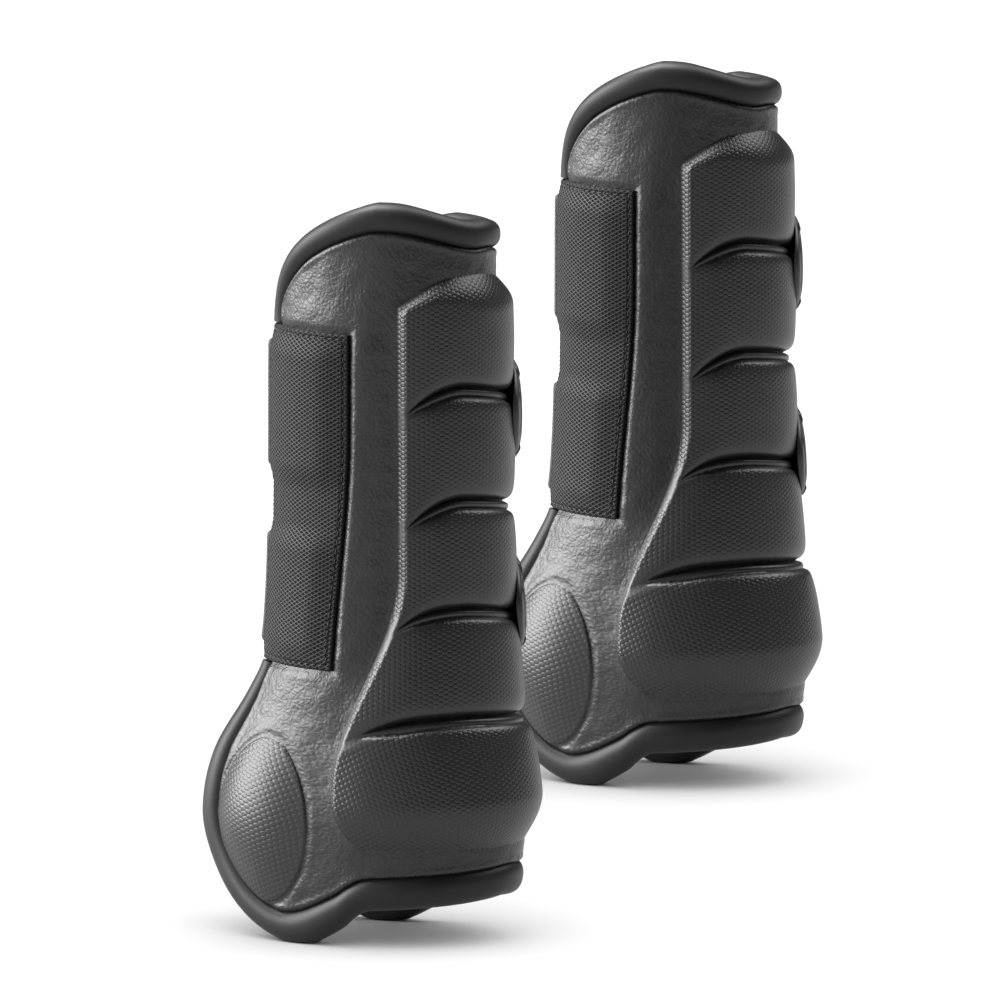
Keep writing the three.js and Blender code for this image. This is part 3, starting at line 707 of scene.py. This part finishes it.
def sewn_box(strap, angles, reach, margin, lift, counts, turning):
    """Runs of thread round a box on a strap; counts are for its sides along and across the strap.

    With turning 1 each run faces straight out; with 0 a side's runs all face as its start does.
    """
    (low, high), path = angles, []
    corners = [(low, -reach), (high, -reach), (high, reach), (low, reach), (low, -reach)]
    for (a0, b0), (a1, b1) in zip(corners, corners[1:]):
        count = counts[a0 == a1]
        for k in range(count):
            ends = []
            for t in (k / count, (k + 1) / count):
                a = np.array(mix(a0, a1, t))
                centre, half = strap_band(strap, a)
                ends.append(lifted(a, centre + (half + margin) * mix(b0, b1, t), lift(a)))
            facing = mix(a0, a1, turning * (k + 0.5) / count)
            path.append((*ends, face_normal(np.array(float(facing)), np.array(float(strap["height"])))))
    return path


def make_tab_stitches(boot, word, strap):
    """A sewn box that holds the tab on the end of the elastic."""
    path = sewn_box(strap, (148.6, 155.0), 0.82, 0, lambda a: tab_under(a) + 1.35, (2, 12), 0)
    stitches(boot, f"{word}_tab_stitches", path, 0.6, f"_{word}_elastic")


def make_tip(boot, word, strap):
    """The strap's rounded end, thicker, with finger ridges."""
    angle, z, half, offset = strap_grid(strap, STRAP_TIP - 1, TIP_START + 1, 60, 72, round_tip=True)
    from_tip = (angle - STRAP_TIP + 1) * EDGE_MM
    inward = np.minimum(half - np.abs(offset), from_tip) + 0.05
    ridge = np.maximum(0, np.cos((angle - 23) * TURN / 4.2)) * smooth((inward - 2.4) / 1.5) * (angle < 33)
    crown = (1.2 + 0.9 * rounded(inward, 6)) * tip_crown(angle, offset / half) * rounded(inward, 1.3)
    tip = surface_slab(boot, f"{word}_tip_pull", angle, z, 5.9 + crown + 0.3 * ridge, 5.75, 4)
    finish_piece(boot, tip, "rubber", [f"{word}_tip_grip"], body=f"_{word}_tab")


def make_tape(boot, word, strap, kind):
    """Hook or loop tape with a woven selvedge and a napped middle."""
    low, high, margin, under, body = {
        "loop": (79, 137.2, -LOOP_MARGIN, 0.35, ""),
        "hook": (85, 136, 2, 2.35, f"_{word}_tab"),
    }[kind]
    angle, z, half, offset = strap_grid(strap, low, high, 120, 100, margin)
    inward = np.minimum(half - np.abs(offset), np.minimum(angle - low, high - angle) * 0.6)
    nap = 0.14 * wavy(arc_mm(angle, z), z, 1.3, 11) + 0.1 * wavy(arc_mm(angle, z), z, 0.8, 12)
    height = 0.75 + (0.35 + nap) * smooth((inward - 1.8) / 0.8)
    height *= mix(0.4, 1, rounded(inward + 0.05, 0.7))
    if kind == "loop":
        faces = under + height, under, 4
    else:
        faces = under + 1.2, under + 1.1 - height, 1
    tape = surface_slab(boot, f"{word}_{kind}_tape_nap", angle, z, *faces)
    finish_piece(boot, tape, kind, [f"{word}_{kind}_tape"], body=body)


def make_tape_stitches(boot, word, strap):
    """A sewn box that holds the loop tape on the shell."""
    path = sewn_box(strap, (80.6, 135.6), 0.95, LOOP_MARGIN, lambda a: 1.1, (13, 13), 1)
    stitches(boot, f"{word}_tape_stitches", path, 0.5)


# ---- lining ----
CHANNEL_PITCH, HOLE_PITCH, HOLE_RADIUS = 17, 8.5, 0.19  # in mm; the radius is a share of the pitch


def make_lining(boot):
    """Padded inner lining, quilted in soft upright channels, with rows of vent holes."""
    nx, ny = 200, 200
    angle, share = np.meshgrid(crowded(nx, 0.4) * (RIM_ANGLE - 0.6), np.linspace(0, 1, ny + 1))
    low, high = bottom_edge(angle, 1) + 0.4, top_edge(angle, 1) - 0.4
    z = mix(low, high, share)
    s = arc_mm(angle, z)
    channel = np.abs(np.sin(s * math.pi / CHANNEL_PITCH))
    puff = 0.9 * channel**0.6
    column = s / HOLE_PITCH
    hole_s = column % 1 - 0.5
    hole_z = ((z + HOLE_PITCH / 2 * (np.floor(column) % 2)) / HOLE_PITCH) % 1 - 0.5
    hole = smooth((HOLE_RADIUS - np.hypot(hole_s, hole_z)) / 0.06)
    hole *= (np.abs(angle) < 118) & (z > 30) & (z < 222)
    edge = np.minimum(z - low, high - z)
    inner = -(LINING_INSIDE - 0.4 + puff * smooth(edge / 6) - 0.9 * hole)
    lining = surface_slab(boot, "padded_lining", angle, z, -(FOAM_INSIDE + 0.1), inner, 1)
    finish_piece(boot, lining, "lining", ["inner_lining"])


# ---- materials ----
class Material:
    """A procedural material, with short calls that add its nodes. Patterns on a surface are in mm."""

    def __init__(self, name):
        self.data = bpy.data.materials.new(name)
        self.data.use_nodes = True
        self.tree = self.data.node_tree

    def put(self, sockets, values):
        for key, value in values.items():
            if isinstance(value, bpy.types.NodeSocket):
                self.tree.links.new(value, sockets[key])
            else:
                sockets[key].default_value = value

    def add(self, kind, inputs, **settings):
        node = self.tree.nodes.new(kind)
        for key, value in settings.items():
            setattr(node, key, value)
        self.put(node.inputs, inputs)
        return node.outputs

    def shade(self, values):
        """Sets the shader's own inputs, and gives the finished material."""
        self.put(self.tree.nodes["Principled BSDF"].inputs, values)
        return self.data

    def uv(self):
        return self.add("ShaderNodeUVMap", {}, uv_map="surface")["UV"]

    def position(self):
        return self.add("ShaderNodeTexCoord", {})["Object"]

    def attribute(self, name):
        return self.add("ShaderNodeAttribute", {}, attribute_name=name)["Fac"]

    def math(self, operation, *values):
        return self.add("ShaderNodeMath", dict(enumerate(values)), operation=operation)[0]

    def scaled(self, value, factor, plus=0.0):
        return self.math("MULTIPLY_ADD", value, factor, plus)

    def vector(self, operation, *values):
        outputs = self.add("ShaderNodeVectorMath", dict(enumerate(values)), operation=operation)
        return outputs["Value" if operation == "LENGTH" else "Vector"]

    def waves(self, uv, across, upright):
        """Sine waves of two lengths, across and up the surface."""
        parts = self.add("ShaderNodeSeparateXYZ", {0: uv})
        return [self.math("SINE", self.scaled(parts[k], TURN / length))
                for k, length in enumerate((across, upright))]

    def remap(self, value, low, high, to_low=0.0, to_high=1.0):
        limits = {"Value": value, "From Min": low, "From Max": high, "To Min": to_low, "To Max": to_high}
        return self.add("ShaderNodeMapRange", limits, interpolation_type="SMOOTHSTEP")[0]

    def ramp(self, value, *stops):
        """Greys between two or more (position, grey) stops, a trace bluer than neutral."""
        node = self.tree.nodes.new("ShaderNodeValToRGB")
        self.put(node.inputs, {"Fac": value})
        elements = node.color_ramp.elements
        while len(elements) < len(stops):
            elements.new(0.5)
        for element, (position, grey) in zip(elements, stops):
            element.position = position
            element.color = (grey, grey, grey * 1.02, 1)
        return node.outputs["Color"]

    def mixed(self, factor, a, b, how="MIX"):
        inputs = {"Factor": factor, "A": a, "B": b}
        return self.add("ShaderNodeMix", inputs, data_type="RGBA", blend_type=how)["Result"]

    def noise(self, vector, scale, detail=3.0, roughness=0.5, output="Fac"):
        inputs = {"Vector": vector, "Scale": scale, "Detail": detail, "Roughness": roughness}
        return self.add("ShaderNodeTexNoise", inputs)[output]

    def cells(self, vector, scale, **settings):
        return self.add("ShaderNodeTexVoronoi", {"Vector": vector, "Scale": scale}, **settings)["Distance"]

    def bump(self, height, strength, distance, under=None):
        inputs = {"Height": height, "Strength": strength, "Distance": distance}
        return self.add("ShaderNodeBump", inputs if under is None else {**inputs, "Normal": under})["Normal"]


def leather_material():
    """Moulded skin with a cast leather grain: soft cells with creases between them."""
    m = Material("moulded_leather_grain")
    uv = m.uv()
    warped = m.vector("MULTIPLY_ADD", m.noise(uv, 0.3, output="Color"), (2.2, 2.2, 0), uv)
    crease = m.remap(m.cells(warped, 0.6, voronoi_dimensions="2D", feature="DISTANCE_TO_EDGE"), 0.0, 0.42)
    folds = m.noise(m.vector("MULTIPLY", uv, (1.0, 0.72, 0)), 0.85, 1.5)
    grain = m.scaled(folds, 1.15, m.scaled(crease, 0.38))
    fine = m.noise(uv, 2.6, 4.0, 0.6)
    base = m.ramp(m.noise(uv, 0.05), (0.3, 0.0075), (0.7, 0.012))
    return m.shade({
        # Painted shade: the base colour is darkened where the grain lies low, in its creases.
        "Base Color": m.mixed(1.0, base, m.ramp(grain, (0.45, 0.35), (0.95, 1.0)), "MULTIPLY"),
        "Roughness": m.scaled(fine, 0.14, m.scaled(crease, -0.05, 0.36)),
        "Normal": m.bump(fine, 0.2, 0.0001, m.bump(grain, 0.8, 0.00015)),
        "Specular IOR Level": 0.45,
    })


DOT_PITCH, DOT_EDGE, DOT_TOP = 1.62, 0.84, 0.38  # from dot to dot, and radii of a dot's foot and top


def dot_lattice(m, uv, pitch):
    """Distance to the nearest dot of a hexagonal lattice whose closest rows stand upright."""
    wide, tall = pitch * math.sqrt(3), pitch
    distances = []
    for shift in ((0, 0, 0), (0.5, 0.5, 0)):
        cell = m.vector("FRACTION", m.vector("MULTIPLY_ADD", uv, (1 / wide, 1 / tall, 0), shift))
        centred = m.vector("SUBTRACT", cell, (0.5, 0.5, 0))
        distances.append(m.vector("LENGTH", m.vector("MULTIPLY", centred, (wide, tall, 0))))
    return m.math("MINIMUM", *distances)


def pebble_material():
    """Moulded pad covered in small round dots."""
    m = Material("moulded_pebble_dots")
    uv = m.uv()
    dot = m.remap(dot_lattice(m, uv, DOT_PITCH), DOT_EDGE, DOT_TOP)
    gap = m.scaled(m.math("SUBTRACT", 1.0, dot), m.attribute("dots"))
    height = m.scaled(gap, -1.0, 1.0)
    fine = m.noise(uv, 3.2, 3.0, 0.6)
    base = m.ramp(m.noise(uv, 0.045), (0.3, 0.008), (0.7, 0.012))
    return m.shade({
        # Painted shade: the base colour is darkened in the low gaps between the dots, as strongly as the dots
        # attribute says.
        "Base Color": m.mixed(1.0, base, m.ramp(height, (0.0, 0.68), (0.7, 1.0)), "MULTIPLY"),
        "Roughness": m.scaled(fine, 0.12, 0.33),
        "Normal": m.bump(fine, 0.15, 0.0001, m.bump(height, 1.0, 0.00011)),
        "Specular IOR Level": 0.45,
    })


def rim_material():
    """Smooth rolled rim with a faint moulded skin."""
    m = Material("smooth_moulded_rim")
    uv = m.uv()
    broad, fine = m.noise(uv, 0.07), m.noise(uv, 1.6, 5.0, 0.65)
    return m.shade({
        "Base Color": m.ramp(broad, (0.3, 0.009), (0.7, 0.013)),
        "Roughness": m.scaled(fine, 0.12, m.scaled(broad, 0.08, 0.37)),
        "Normal": m.bump(fine, 0.12, 0.0001),
        "Specular IOR Level": 0.23,
    })


def mesh_material():
    """Open diamond mesh: pale threads over holes darkened near to black with painted shade, with a plain dark
    hem.
    """
    m = Material("woven_mesh_fabric")
    uv = m.uv()
    across, upright = m.add("ShaderNodeSeparateXYZ", {0: uv})[:2]
    ridges = []
    for sign in (-1, 1):
        slope = m.scaled(upright, sign / MESH_TALL)
        wave = m.math("FRACT", m.scaled(across, 1 / MESH_WIDE, slope))
        ridges.append(m.remap(m.math("ABSOLUTE", m.math("SUBTRACT", wave, 0.5)), 0.26, 0.45))
    threads = m.math("MAXIMUM", *ridges)
    height = m.scaled(m.noise(uv, 5.0, 3.0, 0.7), 0.2, threads)
    shade = m.ramp(height, (0.1, 0.0004), (0.5, 0.003), (1.0, 0.020))
    return m.shade({
        # Painted shade: the base colour falls near to black where the threads lie low, in the holes.
        "Base Color": m.mixed(m.attribute("hem"), shade, (0.003, 0.003, 0.003, 1)),
        "Roughness": m.remap(threads, 0, 1, 0.95, 0.5),
        "Normal": m.bump(height, 0.7, 0.0002),
        "Specular IOR Level": 0.25,
    })


def webbing_material():
    """Elastic webbing: fine cross picks between raised warp ribs."""
    m = Material("elastic_webbing_weave")
    uv = m.uv()
    weave = m.scaled(*m.waves(uv, 0.7, 0.62))
    height = m.scaled(weave, 0.5, m.noise(uv, 4.0, 3.0, 0.7))
    return m.shade({
        # Painted shade: the base colour is darker where the weave lies low.
        "Base Color": m.ramp(height, (0.1, 0.003), (0.9, 0.014)),
        "Roughness": 0.82,
        "Normal": m.bump(height, 0.8, 0.00022),
        "Sheen Weight": 0.08,
    })


def tape_material(name, scale, dark, light):
    """Hook or loop tape: a dense uneven nap."""
    m = Material(name)
    uv = m.uv()
    tufts = m.cells(uv, scale * 0.6, voronoi_dimensions="2D")
    height = m.scaled(tufts, -0.6, m.noise(uv, scale, 6.0, 0.75))
    return m.shade({
        # Painted shade: the base colour is darker where the nap lies low, between the tufts.
        "Base Color": m.ramp(height, (0.0, dark), (0.6, light)),
        "Roughness": 0.95,
        "Normal": m.bump(height, 0.8, 0.0003),
        "Sheen Weight": 0.35,
    })


def rubber_material():
    """Strap tabs: smooth dark rubber with a matt bloom and faint scuffs."""
    m = Material("strap_tab_rubber")
    uv = m.uv()
    bloom = m.noise(uv, 0.12, 4.0)
    return m.shade({
        "Base Color": m.ramp(bloom, (0.3, 0.009), (0.75, 0.015)),
        "Roughness": m.scaled(bloom, 0.2, 0.34),
        "Normal": m.bump(m.noise(uv, 2.2, 4.0, 0.6), 0.25, 0.00012),
    })


def lining_material():
    """Fine knitted lining over foam."""
    m = Material("knitted_lining")
    uv = m.uv()
    wales, courses = m.waves(uv, 0.9, 0.7)
    knit = m.scaled(wales, 0.5, m.scaled(courses, 0.35))
    height = m.math("ADD", knit, m.noise(uv, 3.0, 3.0, 0.7))
    return m.shade({
        # Painted shade: the base colour is darker where the knit lies low.
        "Base Color": m.ramp(height, (0.0, 0.010), (1.0, 0.024)),
        "Roughness": 0.9,
        "Normal": m.bump(height, 0.4, 0.0002),
        "Sheen Weight": 0.3,
    })


def thread_material():
    """Twisted black sewing thread."""
    m = Material("black_thread")
    twist = m.noise(m.position(), 2500.0, 2.0)
    return m.shade({
        # Painted shade: the base colour is darker where the twist lies low.
        "Base Color": m.ramp(twist, (0.3, 0.006), (0.7, 0.02)),
        "Roughness": 0.6,
        "Normal": m.bump(twist, 0.4, 0.0001),
    })


def foam_material():
    """Cut face of closed-cell foam."""
    m = Material("closed_cell_foam")
    cells = m.cells(m.position(), 1600.0)
    return m.shade({
        # Painted shade: the base colour is darker in the hollow middles of the cells.
        "Base Color": m.ramp(cells, (0.0, 0.010), (0.9, 0.022)),
        "Roughness": 0.92,
        "Normal": m.bump(cells, 0.5, 0.0002),
    })


# Each look's material, and the name of its material slot.
LOOKS = {
    "leather": (leather_material(), "grained_shell"),
    "pebble": (pebble_material(), "pebbled_pad"),
    "rim": (rim_material(), "smooth_rim"),
    "mesh": (mesh_material(), "mesh_fabric"),
    "webbing": (webbing_material(), "elastic_webbing"),
    "loop": (tape_material("loop_tape_nap", 2.2, 0.004, 0.02), "hook_and_loop"),
    "hook": (tape_material("hook_tape_nap", 3.4, 0.003, 0.014), "hook_and_loop"),
    "rubber": (rubber_material(), "strap_rubber"),
    "lining": (lining_material(), "lining"),
    "thread": (thread_material(), None),
    "foam": (foam_material(), None),
}


def finish_piece(boot, piece, look, nodes=(), body=""):
    """Gives a piece its material, puts it on a body, and hides the CAD nodes it stands for.

    Nodes and body are named without the boot's name. A piece that bends has no body of its own here.
    """
    material, usual_slot = LOOKS[look]
    piece.data.materials.append(material)
    if body is not None:
        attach(piece, boot.name + body)
    if nodes:
        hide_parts(*(f"{boot.name}_{node}" for node in nodes))


def carry_over(boot):
    """CAD nodes inside the boot that stay as they are, but for a foam material."""
    for node in ("foam_liner", "upper_strap_root", "lower_strap_root"):
        mesh = frame["nodes"][f"{boot.name}_{node}"].data
        mesh.materials.clear()
        mesh.materials.append(LOOKS["foam"][0])


# ---- one boot ----
def make_boot(name):
    boot = Boot(name)
    make_skin(boot)
    make_tendon_pad(boot)
    for side, word in ((-1, "medial"), (1, "lateral")):
        make_fetlock_pad(boot, side, word)
        make_front_edge(boot, side, word)
    make_upper_rim(boot)
    make_lower_rim(boot)
    make_lining(boot)
    make_mesh_panel(boot)
    make_panel_stitches(boot)
    for word, strap in STRAPS.items():
        make_elastic(boot, word, strap)
        make_tab(boot, word, strap)
        make_tab_stitches(boot, word, strap)
        make_tip(boot, word, strap)
        make_tape(boot, word, strap, "loop")
        make_tape(boot, word, strap, "hook")
        make_tape_stitches(boot, word, strap)
    carry_over(boot)
    return boot


# ---- camera, floor and light ----
AZIMUTH, ELEVATION = 30, 8
CAMERA_DISTANCE, FRAME_WIDTH, SENSOR = 15.0, 0.3333, 36  # in metres, and the sensor in mm
# Middle of the view, in mm across and up from the first boot's own origin, seen along the camera.
VIEW_ACROSS, VIEW_UP = 36.1, 143.1
VIEW_DEPTH = 0.38  # share of the way from the first boot to the second


def camera_axes():
    a, e = math.radians(AZIMUTH), math.radians(ELEVATION)
    right = Vector((math.cos(a), math.sin(a), 0))
    forward = Vector((-math.sin(a) * math.cos(e), math.cos(a) * math.cos(e), -math.sin(e)))
    return right, right.cross(forward), forward


def aimed(name, data, location, forward):
    """A camera or light at a place, looking along a direction."""
    obj = in_scene(name, data)
    obj.location = location
    obj.rotation_mode = "QUATERNION"
    obj.rotation_quaternion = forward.to_track_quat("-Z", "Y")
    return obj


def make_camera(boots):
    right, up, forward = camera_axes()
    first, second = (Vector(b.origin) for b in boots)
    depth = (second - first).dot(forward) * VIEW_DEPTH
    target = first + right * VIEW_ACROSS * MM + up * VIEW_UP * MM + forward * depth
    data = bpy.data.cameras.new("camera")
    data.sensor_width = SENSOR
    data.lens = SENSOR / 2 / (FRAME_WIDTH / 2 / CAMERA_DISTANCE)
    data.clip_start, data.clip_end = 1, 40
    bpy.context.scene.camera = aimed("camera", data, target - forward * CAMERA_DISTANCE, forward)


def make_floor():
    mesh = bpy.data.meshes.new("floor")
    side, level = 9, -0.0004
    mesh.from_pydata([(-side, -side, level), (side, -side, level), (side, side, level), (-side, side, level)],
                     [], [(0, 1, 2, 3)])
    floor = in_scene("floor", mesh)
    matt = {"Base Color": (0.8, 0.8, 0.8, 1), "Roughness": 0.9, "Specular IOR Level": 0.1}
    mesh.materials.append(Material("white_studio_floor").shade(matt))
    return floor


def lit_objects(name, floor, state):
    """A light's list of receivers: the floor alone, or all but the floor."""
    receivers = bpy.data.collections.new(name)
    receivers.objects.link(floor)
    receivers.collection_objects[0].light_linking.link_state = state
    return receivers


def studio_light(name, azimuth, elevation, width, strength, receivers):
    """A broad, far light; azimuth is from the camera, and width is the angle that it fills."""
    right, _, forward = camera_axes()
    toward = Vector((-forward.x, -forward.y, 0)).normalized()
    a, e = math.radians(azimuth), math.radians(elevation)
    direction = (toward * math.cos(a) + right * math.sin(a)) * math.cos(e) + Vector((0, 0, math.sin(e)))
    data = bpy.data.lights.new(name, "SUN")
    data.angle, data.energy = math.radians(width), strength
    aimed(name, data, direction * 3, -direction).light_linking.receiver_collection = receivers


# Each light's name, azimuth, elevation, width and strength.
BOOT_LIGHTS = [("high_left", -120, 64, 44, 9.0), ("low_left", -97, 10, 46, 8.4),
               ("high_right", 120, 52, 46, 2.6), ("front_fill", -35, 25, 60, 0.6)]
FLOOR_LIGHTS = [("floor_wash", 0, 88, 150, 4.3), ("floor_fill", 0, 35, 70, 0.85)]


def make_lights(floor):
    groups = ("boots_only", "EXCLUDE", BOOT_LIGHTS), ("floor_only", "INCLUDE", FLOOR_LIGHTS)
    for name, state, lights in groups:
        receivers = lit_objects(name, floor, state)
        for light in lights:
            studio_light(*light, receivers)
    world = bpy.data.worlds.new("studio")
    world.use_nodes = True
    tree = world.node_tree
    seen = tree.nodes.new("ShaderNodeLightPath").outputs["Is Camera Ray"]
    strength = tree.nodes.new("ShaderNodeMapRange")
    strength.inputs["To Min"].default_value, strength.inputs["To Max"].default_value = 0.05, 1
    tree.links.new(seen, strength.inputs["Value"])
    background = tree.nodes["Background"]
    background.inputs["Color"].default_value = (1, 1, 1, 1)
    tree.links.new(strength.outputs["Result"], background.inputs["Strength"])
    bpy.context.scene.world = world


boots = [make_boot(name) for name in BOOTS]
make_camera(boots)
make_lights(make_floor())
bpy.context.scene.view_settings.view_transform = "Standard"
